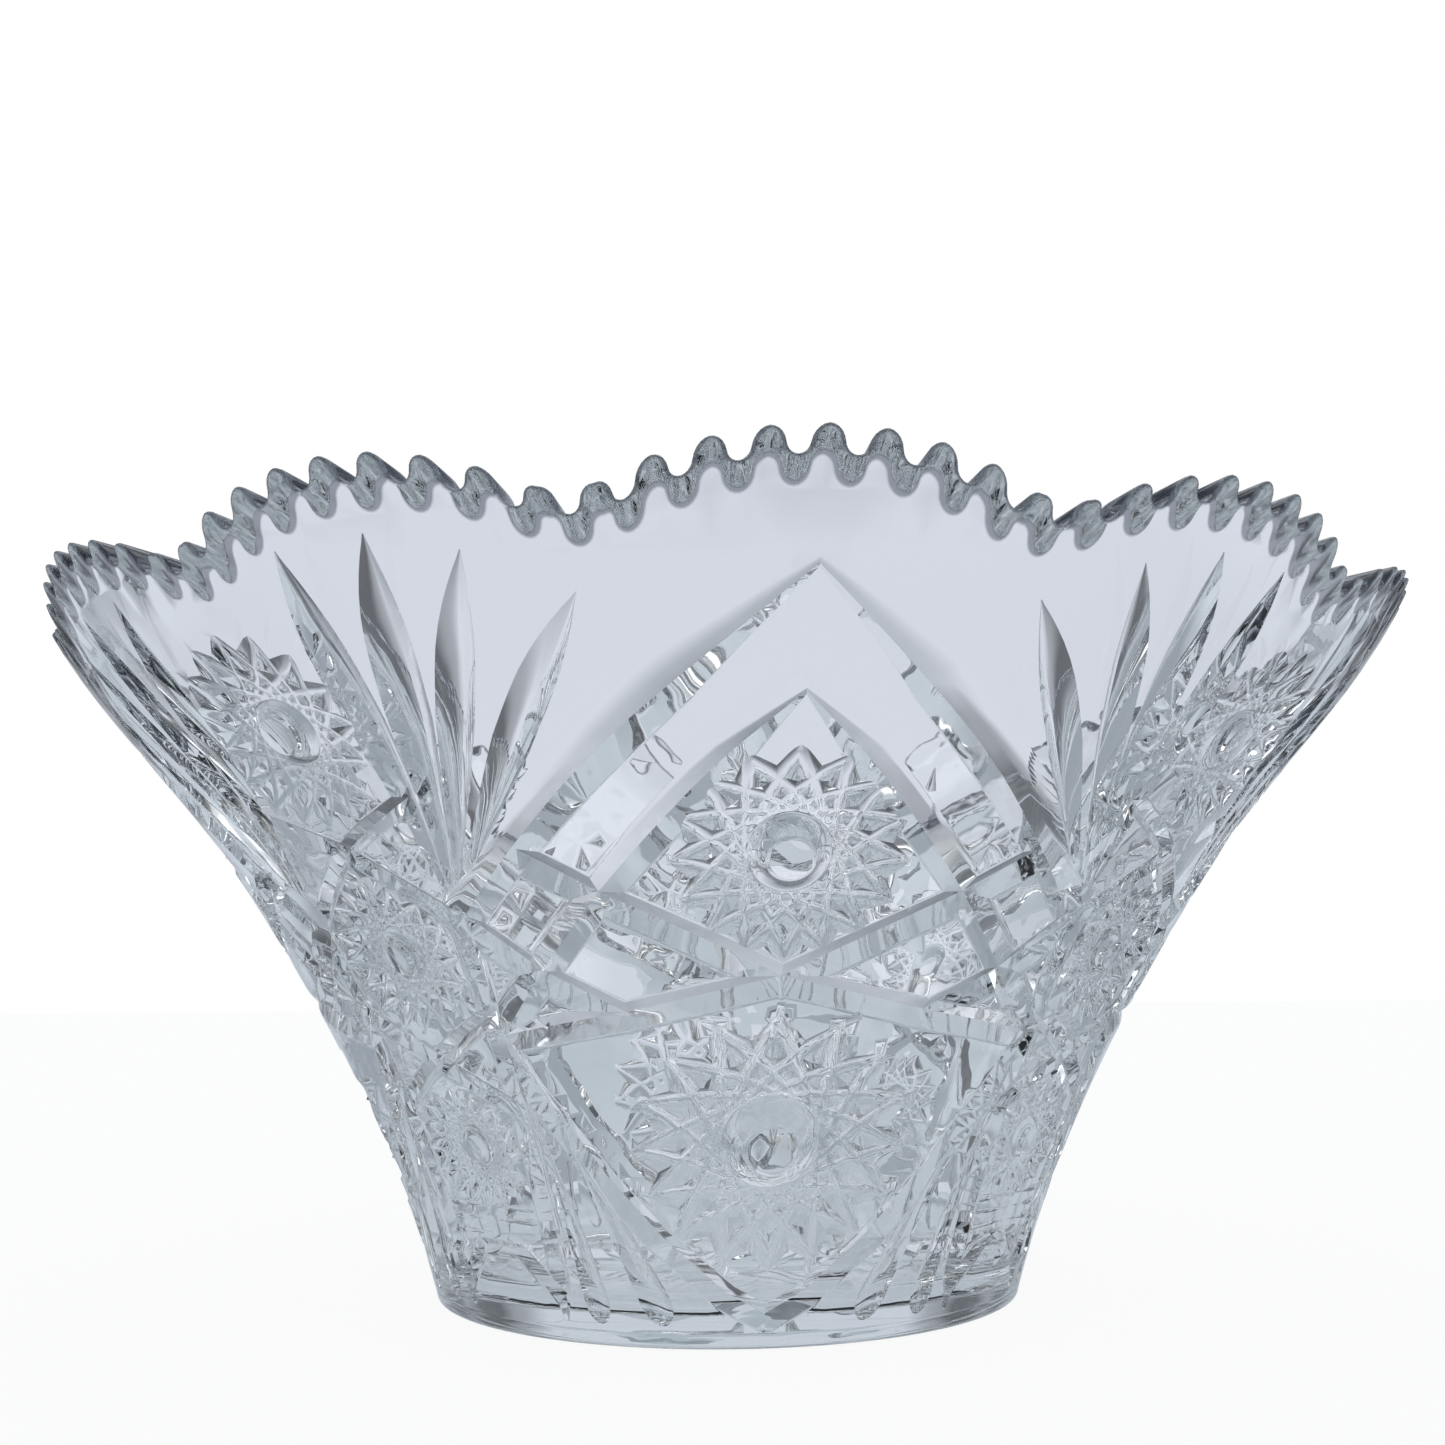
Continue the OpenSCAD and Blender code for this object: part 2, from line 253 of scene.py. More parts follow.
def star(centre, radius, depth, store, half=0.112):
    """Star of sixteen crossing chords round a raised button, sizes in millimetres."""
    k = per_mm(centre[1])
    r = radius * k
    d0 = depth * k
    chords, lean = 16, math.radians(67.5)
    reach, length = math.cos(lean), math.sin(lean)
    slope = math.atan2(d0, half * r)
    bend = 0.065 * r
    bed = [(bend * math.sin(t), bend * (1 - math.cos(t))) for t in np.linspace(-slope, slope, 4)]
    stops = np.array([-1.07, -0.95, -0.8, -0.5, 0.5, 0.8, 0.95, 1.07])
    fall = np.clip((np.abs(stops) - 0.5) / 0.57, 0, 1) ** 1.8
    for j in range(chords):
        a = math.radians(360 / chords * j)
        n = np.array([math.cos(a), math.sin(a)])
        t = np.array([-n[1], n[0]])
        sections = []
        for u, f in zip(stops, fall):
            p = centre + n * reach * r + t * length * r * u
            d = d0 * (1 - 1.08 * f)
            lift = 0.35 * d0
            w = bed[-1][0] + (lift + d - bed[-1][1]) / math.tan(slope)
            ring = [(-w, lift)] + [(x, y - d) for x, y in bed] + [(w, lift)]
            sections.append(np.array([[*(p + n * x), y] for x, y in ring]))
        loft("chord", sections, store)
    # The ring that is cut round the button, from its middle outwards
    turn = 40
    rings = [(0.10, 0.045), (0.17, 0.02), (0.205, -0.03), (0.226, -0.13), (0.24, -0.27), (0.36, -1.0),
             (0.378, -1.04), (0.394, -0.95), (0.402, 0.35)]
    angles = np.arange(turn) / turn * 2 * math.pi
    verts = [np.array([*centre, 0.05 * d0]), np.array([*centre, 0.35 * d0])]
    for g, h in rings:
        for a in angles:
            x, y = centre[0] + g * r * math.cos(a), centre[1] + g * r * math.sin(a)
            verts.append(np.array([x, y, h * d0]))
    faces = []
    last = 2 + (len(rings) - 1) * turn
    for j in range(turn):
        i = (j + 1) % turn
        faces.append((0, 2 + i, 2 + j))
        for g in range(len(rings) - 1):
            b = 2 + g * turn
            faces.append((b + j, b + i, b + turn + i, b + turn + j))
        faces.append((1, last + j, last + i))
    solid("button", verts, faces, store)


def tooth_line():
    """Half a tooth from its tip to the notch beside it: a round tip that runs into a round notch."""
    half = TOOTH_A / 2 / DEG * RIM_R
    turn = 2 * math.atan(TOOTH_DEPTH / half)
    both = half / math.sin(turn)
    tip = both * TIP_SHARE
    notch = both - tip
    a = np.linspace(0, turn, 6)
    down = [(tip * math.sin(t), tip * (1 - math.cos(t))) for t in a]
    down += [(half - notch * math.sin(t), TOOTH_DEPTH - notch * (1 - math.cos(t))) for t in a[-2::-1]]
    return np.array(down) / [2 * half, 1]


def scallop_z(angle):
    """Height of the scalloped line through the tips of the teeth."""
    return BOWL_H - SCALLOP_DROP * (2 * (angle - SCALLOP_A * round(angle / SCALLOP_A)) / SCALLOP_A) ** 2


def rim_line():
    """The toothed rim on the sheet, from before the middle line to past the end of the half repeat."""
    half = tooth_line()
    tooth = np.vstack([half, half[-2:0:-1] * [-1, 1] + [1, 0]])
    out = []
    for k in range(-1, 15):
        a, b = k * TOOTH_A, (k + 1) * TOOTH_A
        za, zb = scallop_z(a), scallop_z(b)
        out += [(a + TOOTH_A * u, za + (zb - za) * u - v) for u, v in tooth]
    out = np.array(out)
    return np.stack([out[:, 0], sheet_y(out[:, 1])], 1)


def rim_round():
    """Radius of the rim's rounded edges on the sheet."""
    return RIM_ROUND * per_mm(sheet_y(BOWL_H - 4))


def rim_cutter(store, layers=5):
    """Everything above the toothed rim, with the rim's two edges rounded."""
    line = rim_line()
    step = unit(np.gradient(line, axis=0))
    down = np.stack([step[:, 1], -step[:, 0]], 1)
    b = rim_round()
    top = float(sheet_y(150)) + 6
    x0, x1 = line[0, 0] - 1, line[-1, 0] + 1
    sections = []
    arc = np.linspace(0, math.pi / 2, layers)
    depths = [(2.0, b)] + [(-b * (1 - math.cos(t)), b * (1 - math.sin(t))) for t in arc]
    depths = depths + [(-SHEET_T - h, g) for h, g in depths[::-1]]
    for h, g in depths:
        rows = line + down * g
        rows = np.vstack([rows, [[x1, rows[-1, 1]], [x1, top], [x0, top], [x0, rows[0, 1]]]])
        sections.append(np.column_stack([rows, np.full(len(rows), h)]))
    return loft("rim", sections, store)


def sheet(store, cells=(24, 40), inner=(20, 32)):
    """The plain sheet of half a repeat, divided so that it can bend."""
    y0, y1 = float(sheet_y(SHEET_Z0)), float(sheet_y(SHEET_Z1))
    verts, faces = [], []
    rows = {}
    for name, (nx, ny), h in (("out", cells, 0.0), ("in", inner, -SHEET_T)):
        base = len(verts)
        xs, ys = np.linspace(0, MID_A, nx + 1), np.linspace(y0, y1, ny + 1)
        verts += [(x, y, h) for y in ys for x in xs]
        grid = [[base + j * (nx + 1) + i for i in range(nx + 1)] for j in range(ny + 1)]
        rows[name] = grid
        for j in range(ny):
            for i in range(nx):
                f = (grid[j][i], grid[j][i + 1], grid[j + 1][i + 1], grid[j + 1][i])
                faces.append(f if name == "out" else f[::-1])
    o, n = rows["out"], rows["in"]
    faces.append(tuple(n[0] + o[0][::-1]))
    faces.append(tuple(o[-1] + n[-1][::-1]))
    faces.append(tuple([g[0] for g in o] + [g[0] for g in n[::-1]]))
    faces.append(tuple([g[-1] for g in n] + [g[-1] for g in o[::-1]]))
    return solid("sheet", verts, faces, store)


def mirror_path(points):
    """A path that starts on the middle line, continued on its other side."""
    other = [np.array([-p[0], p[1]]) for p in points[:0:-1]]
    return other + list(points)


def cut_pattern(store):
    corner, knee = spot(EDGE_A, 76.6), spot(EDGE_A, 55.8)
    tip_out, tip_in = spot(0, 126.4), spot(0, 109.8)
    knot, shoulder = spot(18.3, 79.7), spot(25.8, 87)
    hip, lens = spot(26.3, 66.9), spot(17.5, 59.7)
    cross = spot(0, 65.6)
    # Outer and inner arch
    mitre(mirror_path([tip_out, corner]), 4.3, 2.6, store, soft=(9.0, 0.9), step=2.6,
          fade=lambda u: min(1.0, 0.12 + abs(u - 0.5) / 0.17))
    mitre(mirror_path([tip_in, knot, hip, knee]), 3.4, 2.2, store, soft=(2.6, 0.9), step=2.6,
          fade=lambda u: min(1.0, 0.12 + abs(u - 0.5) / 0.1))
    # Mitres that cross between the two stars
    mitre(mirror_path([cross, knot, shoulder]), 3.2, 2.1, store, soft=(1.4, 1.4))
    mitre([corner, hip, lens], 3.2, 2.1, store, soft=(1.4, 1.4))
    mitre(mirror_path([cross, lens, knee]), 3.0, 2.0, store, soft=(1.4, 1.4))
    # Lower chevron and border of the panel
    low_arc = [spot(0, 5.6), spot(6.4, 9.6), spot(16, 19.7), spot(23.2, 30.3), spot(31, 46.8)]
    mitre(mirror_path(low_arc + [knee]), 2.7, 1.9, store, step=4.5)
    mitre([spot(EDGE_A, 4.2), spot(EDGE_A, 78)], 2.2, 1.6, store,
          fade=lambda u: min(1.0, 0.2 + 8 * u))
    # Fans above the corner and below the knee
    for tip, wide in ((spot(35.4, 132.6), 4.4), (spot(28.4, 133), 4.5),
                      (spot(22.2, 129.6), 3.5), (spot(15.3, 123.2), 3.4)):
        leaf(corner + (tip - corner) * 0.05, tip, wide, wide * 0.72, store)
    for low, wide in ((spot(16, 4.4), 3.3), (spot(27, 4.2), 2.9)):
        leaf(knee + (low - knee) * 0.2, low, wide, 2.2, store, blunt=True, steps=14, across=10)
    # Stars of the panel and of the column
    star(spot(0, 85.2), 19.4, 2.6, store)
    star(spot(0, 36.2), 24.0, 2.8, store)
    star(spot(MID_A, 108.0), 19.0, 2.4, store)
    star(spot(MID_A, 70.2), 15.0, 2.0, store)
    star(spot(MID_A, 35), 12.2, 1.7, store)
    # Crossings, bar and short leaves of the column
    for z, up, down in ((89, 96.8, 76.6), (51.8, 60.4, 43)):
        for one, two in ((up, down), (down, up)):
            mitre([spot(EDGE_A, one), spot(MID_A, z), spot(2 * MID_A - EDGE_A, two)], 2.0, 1.5, store)
    bar = [spot(EDGE_A, 8.5), spot(40.8, 16.5), spot(49.2, 16.5), spot(2 * MID_A - EDGE_A, 8.5)]
    mitre(bar, 1.8, 1.4, store)
    for z in (19.6, 22.2, 24.8):
        leaf(spot(MID_A - 0.5, z), spot(EDGE_A + 2, z), 0.95, 0.8, store, blunt=True, steps=10, across=8)
    rim_cutter(store)


def cut_sheet():
    """The sheet with the whole pattern cut, as points and triangles."""
    store = bpy.data.collections.new("cutters")
    bench = bpy.data.collections.new("bench")
    bpy.context.scene.collection.children.link(store)
    bpy.context.scene.collection.children.link(bench)
    blank = sheet(bench)
    cut_pattern(store)
    mod = blank.modifiers.new("cut", "BOOLEAN")
    mod.operation = "DIFFERENCE"
    mod.solver = "MANIFOLD"
    mod.operand_type = "COLLECTION"
    mod.collection = store
    shown = blank.evaluated_get(bpy.context.evaluated_depsgraph_get())
    bm = bmesh.new()
    bm.from_mesh(shown.data)
    bmesh.ops.triangulate(bm, faces=bm.faces, quad_method="BEAUTY", ngon_method="BEAUTY")
    bm.verts.index_update()
    points = np.array([v.co for v in bm.verts], float)
    tris = np.array([[v.index for v in f.verts] for f in bm.faces], int)
    bm.free()
    for group in (store, bench):
        for obj in list(group.objects):
            mesh = obj.data
            bpy.data.objects.remove(obj)
            bpy.data.meshes.remove(mesh)
        bpy.data.collections.remove(group)
    return points, tris


def corner_normals(points, tris):
    """Normals at the corners of triangles, shared where faces meet at a gentle angle."""
    edge1 = points[tris[:, 1]] - points[tris[:, 0]]
    edge2 = points[tris[:, 2]] - points[tris[:, 0]]
    face = unit(np.cross(edge1, edge2))
    corner = tris.reshape(-1)
    order = np.argsort(corner, kind="stable")
    bounds = np.searchsorted(corner[order], np.arange(len(points) + 1))
    rim_y = sheet_y(BOWL_H + 1) - RIM_BAND
    like, like_at_rim = math.cos(math.radians(SMOOTH_A)), math.cos(math.radians(SMOOTH_RIM_A))
    out = np.zeros((len(corner), 3))
    for v in range(len(points)):
        own = order[bounds[v]:bounds[v + 1]]
        if len(own) == 0:
            continue
        f = own // 3
        n = face[f]
        p = points[v]
        a = points[tris[f, (own % 3 + 1) % 3]] - p
        b = points[tris[f, (own % 3 + 2) % 3]] - p
        lengths = np.linalg.norm(a, axis=1) * np.linalg.norm(b, axis=1)
        cosine = (a * b).sum(1) / np.maximum(lengths, TINY)
        weight = np.arccos(np.clip(cosine, -1, 1)) + 1e-9
        near = (n @ n.T) > (like_at_rim if p[1] > rim_y else like)
        mix = (near * weight) @ n
        if min(p[0], MID_A - p[0]) < ON_EDGE:
            flat = np.abs(mix[:, 0]) < SEAM_LEAN * np.linalg.norm(mix, axis=1)
            mix[flat, 0] = 0
        out[own] = mix
    return unit(out).reshape(-1, 3, 3)


def end_face(points):
    """One on the end face of the toothed rim, falling to nothing over its rounded edges; the glass there is painted a
    dark grey shade.
    """
    line = rim_line()
    out = np.zeros(len(points))
    b = rim_round()
    x_y, h = points[:, :2], points[:, 2]
    inside = (h < -ON_EDGE) & (h > ON_EDGE - SHEET_T) & (x_y[:, 1] > line[:, 1].min() - b)
    for i in np.nonzero(inside)[0]:
        far = np.linalg.norm(line - x_y[i], axis=1).min()
        out[i] = np.clip((1 - far / b) / 0.38, 0, 1)
    return out


# Bending the sheet to the wall

def smooth(u):
    u = np.clip(u, 0, 1)
    return u * u * (3 - 2 * u)


def wall_frame(y):
    """Outer wall at y as radius and height, the way in through the glass there, and the glass along it."""
    z = wall_z(y)
    r = wall_r(z)
    s = np.interp(z, Z_STEPS, SLOPE)
    l = np.sqrt(1 + s * s)
    square = np.stack([-1 / l, s / l], -1)
    w = smooth((z - LEVEL_Z) / LEVEL_RUN)[..., None]
    way = unit(square * (1 - w) + np.array(LEVEL_WAY) * w)
    return np.stack([r, z], -1), way, WALL_T / (way * square).sum(-1)


def bent(y, h):
    """Radius and height of a sheet point at y and depth h."""
    base, way, _ = wall_frame(y)
    outer = base - way * (h / per_mm(y))[..., None]
    # The inner side starts above the cove and comes level with the outer side further up
    y0, y1 = float(sheet_y(SHEET_Z0)), float(sheet_y(LIFT_Z))
    lift = float(sheet_y(FOOT_H + COVE_R)) - y0
    lifted = y + lift * (1 - np.clip((y - y0) / (y1 - y0), 0, 1)) ** 2
    base, way, thick = wall_frame(lifted)
    inner = base + way * (thick - (h + SHEET_T) / per_mm(y))[..., None]
    return np.where((h > -SHEET_T / 2)[..., None], outer, inner)


def bend(points, tris, normals):
    """The cut sheet on the wall: radius and height of its points, and corner normals as out, round and up."""
    y, h = points[:, 1], points[:, 2]
    place = bent(y, h)
    e = 0.05
    dy = (bent(y + e, h) - bent(y - e, h)) / (2 * e)
    inside = np.where(h > -SHEET_T / 2, -1, 1)
    dh = (bent(y, h + e * inside * 0.2) - place) / (e * inside * 0.2)[:, None]
    dx = place[:, 0] / DEG
    n = normals.reshape(-1, 3)
    v = tris.reshape(-1)
    out = np.zeros_like(n)
    out[:, 1] = n[:, 0] * (dy[:, 1] * dh[:, 0] - dy[:, 0] * dh[:, 1])[v]
    out[:, 0] = n[:, 1] * dx[v] * -dh[v, 1] + n[:, 2] * dx[v] * dy[v, 1]
    out[:, 2] = n[:, 1] * dx[v] * dh[v, 0] - n[:, 2] * dx[v] * dy[v, 0]
    return place, unit(out).reshape(-1, 3, 3)


def foot_line():
    """Profile from the lower edge of the sheet round the foot to the middle of its underside."""
    out = [(wall_r(np.float64(z)), z) for z in (2.2, FOOT_EDGE)]
    r0 = out[-1][0]
    out += [(r0 - FOOT_EDGE * (1 - math.cos(t)), FOOT_EDGE * (1 - math.sin(t)))
            for t in np.linspace(0, math.pi / 2, 6)[1:]]
    return out + [(r, 0.0) for r in (52.0, 40.0, 26.0, 12.0, 0.0)]


def floor_line():
    """Profile from the lower edge of the inner wall through the cove to the middle of the floor."""
    y0 = np.array([float(sheet_y(SHEET_Z0))])
    low = bent(y0, np.array([-SHEET_T]))[0]
    out = [(low[0] - COVE_R * (1 - math.cos(t)), low[1] - (low[1] - FOOT_H) * math.sin(t))
           for t in np.linspace(0, math.pi / 2, 9)[1:]]
    r = out[-1][0]
    return out + [(r * k, FOOT_H) for k in (0.8, 0.6, 0.4, 0.2, 0.0)]


def skirt(angles, first, line, flip):
    """Strip of the body below the sheet: points, triangles and normals."""
    line = [tuple(first)] + line
    pts = np.array(line, float)
    tangent = np.gradient(pts, axis=0)
    tangent[-1] = tangent[-2] = pts[-1] - pts[-2]
    tangent = unit(tangent)
    square = np.stack([-tangent[:, 1], tangent[:, 0]], 1) * (-1 if flip else 1)
    n = len(angles)
    points = [(a, r, z) for r, z in line for a in angles]
    tris, norms = [], []
    for i in range(len(line) - 1):
        for j in range(n - 1):
            a, b, c, d = i * n + j, i * n + j + 1, (i + 1) * n + j + 1, (i + 1) * n + j
            both = [(a, d, b), (b, d, c)] if i < len(line) - 2 else [(a, d, b)]
            for t in both:
                t = t[::-1] if flip else t
                tris.append(t)
                norms.append([(square[k // n, 0], 0.0, square[k // n, 1]) for k in t])
    return np.array(points, float), np.array(tris, int), np.array(norms, float)


def half_repeat():
    """Half a repeat: points as angle, radius and height, triangles, corner normals and share of end face."""
    points, tris = cut_sheet()
    normals = corner_normals(points, tris)
    y0 = float(sheet_y(SHEET_Z0))
    x, y = points[tris][:, :, 0], points[tris][:, :, 1]
    seams = [np.abs(off).max(1) < ON_EDGE for off in (x, x - MID_A, y - y0)]
    keep = ~(seams[0] | seams[1] | seams[2])
    tris, normals = tris[keep], normals[keep]
    ends = end_face(points)
    place, normals = bend(points, tris, normals)
    body = np.column_stack([points[:, 0], place])
    parts = [(body, tris, normals)]
    low = np.abs(points[:, 1] - y0) < ON_EDGE
    for outer, line in ((True, foot_line()), (False, floor_line())):
        row = low & ((points[:, 2] > -SHEET_T / 2) == outer)
        angles = np.sort(points[row, 0])
        first = place[row][0]
        parts.append(skirt(angles, first, line, not outer))
    base, all_p, all_t, all_n = 0, [], [], []
    for p, t, n in parts:
        all_p.append(p)
        all_t.append(t + base)
        all_n.append(n)
        base += len(p)
    ends = np.concatenate([ends, np.zeros(base - len(ends))])
    return np.vstack(all_p), np.vstack(all_t), np.vstack(all_n), ends


def repeat_mesh():
    """One repeat of the bowl, the half and its mirror image, in metres."""
    p, t, n, ends = half_repeat()
    p2, t2, n2 = p * [-1, 1, 1], t[:, ::-1] + len(p), n[:, ::-1] * [1, -1, 1]
    p, t, n = np.vstack([p, p2]), np.vstack([t, t2]), np.vstack([n, n2])
    a = np.radians(p[:, 0])
    xyz = np.stack([p[:, 1] * np.sin(a), -p[:, 1] * np.cos(a), p[:, 2]], 1) * MM
    mesh = bpy.data.meshes.new("repeat")
    mesh.from_pydata(xyz.tolist(), [], t.tolist())
    mesh.attributes.new("lay", "FLOAT_VECTOR", "CORNER")
    mesh.attributes["lay"].data.foreach_set("vector", n.reshape(-1))
    mesh.attributes.new("end_face", "FLOAT", "POINT")
    mesh.attributes["end_face"].data.foreach_set("value", np.concatenate([ends, ends]))
    return mesh


def repeat_tree():
    """Geometry Nodes that turn one repeat round the bowl and join the turns to one body of glass."""
    tree = bpy.data.node_groups.new("round_the_bowl", "GeometryNodeTree")
    face = tree.interface
    face.new_socket("Geometry", in_out="INPUT", socket_type="NodeSocketGeometry")
    face.new_socket("Repeats", in_out="INPUT", socket_type="NodeSocketInt")
    face.new_socket("Join distance", in_out="INPUT", socket_type="NodeSocketFloat")
    face.new_socket("Glass", in_out="INPUT", socket_type="NodeSocketMaterial")
    face.new_socket("Geometry", in_out="OUTPUT", socket_type="NodeSocketGeometry")
    node = tree.nodes.new
    link = tree.links.new
    given, made = node("NodeGroupInput"), node("NodeGroupOutput")
    spots, index = node("GeometryNodePoints"), node("GeometryNodeInputIndex")
    share, turn = node("ShaderNodeMath"), node("ShaderNodeMath")
    share.operation, turn.operation = "DIVIDE", "MULTIPLY"
    share.inputs[0].default_value = 2 * math.pi
    angle, put = node("ShaderNodeCombineXYZ"), node("GeometryNodeInstanceOnPoints")
    real, join = node("GeometryNodeRealizeInstances"), node("GeometryNodeMergeByDistance")
    finish = node("GeometryNodeSetMaterial")
    link(given.outputs["Repeats"], spots.inputs["Count"])
    link(given.outputs["Repeats"], share.inputs[1])
    link(share.outputs[0], turn.inputs[0])
    link(index.outputs[0], turn.inputs[1])
    link(turn.outputs[0], angle.inputs["Z"])
    link(spots.outputs[0], put.inputs["Points"])
    link(given.outputs["Geometry"], put.inputs["Instance"])
    link(angle.outputs[0], put.inputs["Rotation"])
    link(put.outputs[0], real.inputs[0])
    link(real.outputs[0], join.inputs["Geometry"])
    link(given.outputs["Join distance"], join.inputs["Distance"])
    link(join.outputs[0], finish.inputs["Geometry"])
    link(given.outputs["Glass"], finish.inputs["Material"])
    link(finish.outputs[0], made.inputs[0])
    return tree


def glass_material():
    """Clear glass with a slight ripple, a little rougher on the rim's end face, where it is also less clear and
    painted a dark grey shade.
    """
    mat = bpy.data.materials.new("pressed_glass")
    mat.use_nodes = True
    nodes, links = mat.node_tree.nodes, mat.node_tree.links
    shader = nodes["Principled BSDF"]
    shader.inputs["IOR"].default_value = 1.52
    place = nodes.new("ShaderNodeTexCoord")
    flow = nodes.new("ShaderNodeTexNoise")
    flow.inputs["Scale"].default_value = 22.0
    flow.inputs["Detail"].default_value = 2.0
    tint = nodes.new("ShaderNodeMix")
    tint.data_type = "RGBA"
    tint.inputs["A"].default_value = (0.965, 0.975, 0.975, 1)
    tint.inputs["B"].default_value = (0.985, 0.99, 0.99, 1)
    links.new(place.outputs["Object"], flow.inputs["Vector"])
    links.new(flow.outputs["Fac"], tint.inputs["Factor"])
    ripple = nodes.new("ShaderNodeTexNoise")
    ripple.inputs["Scale"].default_value = 110.0
    ripple.inputs["Detail"].default_value = 1.0
    bump = nodes.new("ShaderNodeBump")
    bump.inputs["Strength"].default_value = 0.12
    bump.inputs["Distance"].default_value = 0.0006
    links.new(place.outputs["Object"], ripple.inputs["Vector"])
    links.new(ripple.outputs["Fac"], bump.inputs["Height"])
    links.new(bump.outputs["Normal"], shader.inputs["Normal"])
    rim_end = nodes.new("ShaderNodeAttribute")
    rim_end.attribute_name = "end_face"
    # The rim's end face is a little rougher, and less clear so that its painted dark grey shade shows.
    for socket, wall, end in (("Roughness", 0.015, 0.03), ("Transmission Weight", 1.0, 0.86)):
        finish = nodes.new("ShaderNodeMapRange")
        finish.inputs["To Min"].default_value = wall
        finish.inputs["To Max"].default_value = end
        links.new(rim_end.outputs["Fac"], finish.inputs["Value"])
        links.new(finish.outputs[0], shader.inputs[socket])
    # Painted shade: the base colour turns dark grey on the rim's end face, standing in for the dark band that the
    # glass shows there.
    rim_painted_shade = nodes.new("ShaderNodeMix")
    rim_painted_shade.data_type = "RGBA"
    rim_painted_shade.inputs["B"].default_value = (0.195, 0.205, 0.235, 1)
    links.new(rim_end.outputs["Fac"], rim_painted_shade.inputs["Factor"])
    links.new(tint.outputs["Result"], rim_painted_shade.inputs["A"])
    links.new(rim_painted_shade.outputs["Result"], shader.inputs["Base Color"])
    depth = nodes.new("ShaderNodeVolumeAbsorption")
    depth.inputs["Color"].default_value = (0.38, 0.50, 0.52, 1)
    depth.inputs["Density"].default_value = 2.5
    links.new(depth.outputs[0], nodes["Material Output"].inputs["Volume"])
    return mat


def turned_normals(mesh):
    """Corner normals from the stored out, round and up, turned to where each corner stands."""
    lay = np.zeros(len(mesh.loops) * 3)
    mesh.attributes["lay"].data.foreach_get("vector", lay)
    lay = lay.reshape(-1, 3)
    place = np.zeros(len(mesh.vertices) * 3)
    mesh.vertices.foreach_get("co", place)
    owner = np.zeros(len(mesh.loops), int)
    mesh.loops.foreach_get("vertex_index", owner)
    xy = place.reshape(-1, 3)[:, :2]
    far = np.linalg.norm(xy, axis=1)
    out = xy / np.maximum(far, 1e-9)[:, None]
    out = out[owner]
    axis = far[owner] < 1e-5
    out[axis] = (1, 0)
    return np.stack([lay[:, 0] * out[:, 0] - lay[:, 1] * out[:, 1],
                     lay[:, 0] * out[:, 1] + lay[:, 1] * out[:, 0], lay[:, 2]], 1)


def make_bowl():
    maker = bpy.data.objects.new("bowl_maker", repeat_mesh())
    bpy.context.scene.collection.objects.link(maker)
    tree = repeat_tree()
    mod = maker.modifiers.new("turns", "NODES")
    mod.node_group = tree
    values = {"Repeats": REPEATS, "Join distance": JOIN_M, "Glass": glass_material()}
    for item in tree.interface.items_tree:
        if item.in_out == "INPUT" and item.name in values:
            mod[item.identifier] = values[item.name]
    shown = maker.evaluated_get(bpy.context.evaluated_depsgraph_get())
    mesh = bpy.data.meshes.new_from_object(shown)
    mesh.name = "glass_bowl"
    bpy.data.objects.remove(maker)
    normal = turned_normals(mesh)
    mesh.polygons.foreach_set("use_smooth", np.ones(len(mesh.polygons), bool))
    mesh.attributes.remove(mesh.attributes["lay"])
    mesh.normals_split_custom_set(normal.tolist())
    bowl = bpy.data.objects.new("glass_bowl", mesh)
    bpy.context.scene.collection.objects.link(bowl)
    return bowl


def make_camera():
    lens = bpy.data.cameras.new("camera")
    lens.lens = 38.17
    lens.sensor_width = 36
    lens.clip_start = 0.01
    cam = bpy.data.objects.new("camera", lens)
    a = math.radians(-VIEW_A)
    away, height = 0.3561, 0.0642
    turn = Matrix.Rotation(a, 4, "Z") @ Matrix.Rotation(math.radians(99.93), 4, "X")
    turn = turn @ Matrix.Rotation(-0.0094, 4, "Z")
    cam.matrix_world = Matrix.Translation((away * math.sin(a), -away * math.cos(a), height)) @ turn
    bpy.context.scene.collection.objects.link(cam)
    bpy.context.scene.camera = cam


def seen_by(nodes, links, *kinds):
    """One where a ray is of one of these kinds."""
    path = nodes.new("ShaderNodeLightPath")
    out = path.outputs[kinds[0]]
    for kind in kinds[1:]:
        either = nodes.new("ShaderNodeMath")
        either.operation = "MAXIMUM"
        links.new(out, either.inputs[0])
        links.new(path.outputs[kind], either.inputs[1])
        out = either.outputs[0]
    return out


def fill_ramp(node, marks):
    """Sets a colour ramp from its first mark to its last, each a position and a colour."""
    held = node.color_ramp.elements
    for end, (at, tone) in ((held[0], marks[0]), (held[1], marks[-1])):
        end.position, end.color = at, (*tone, 1)
    for at, tone in marks[1:-1]:
        held.new(at).color = (*tone, 1)


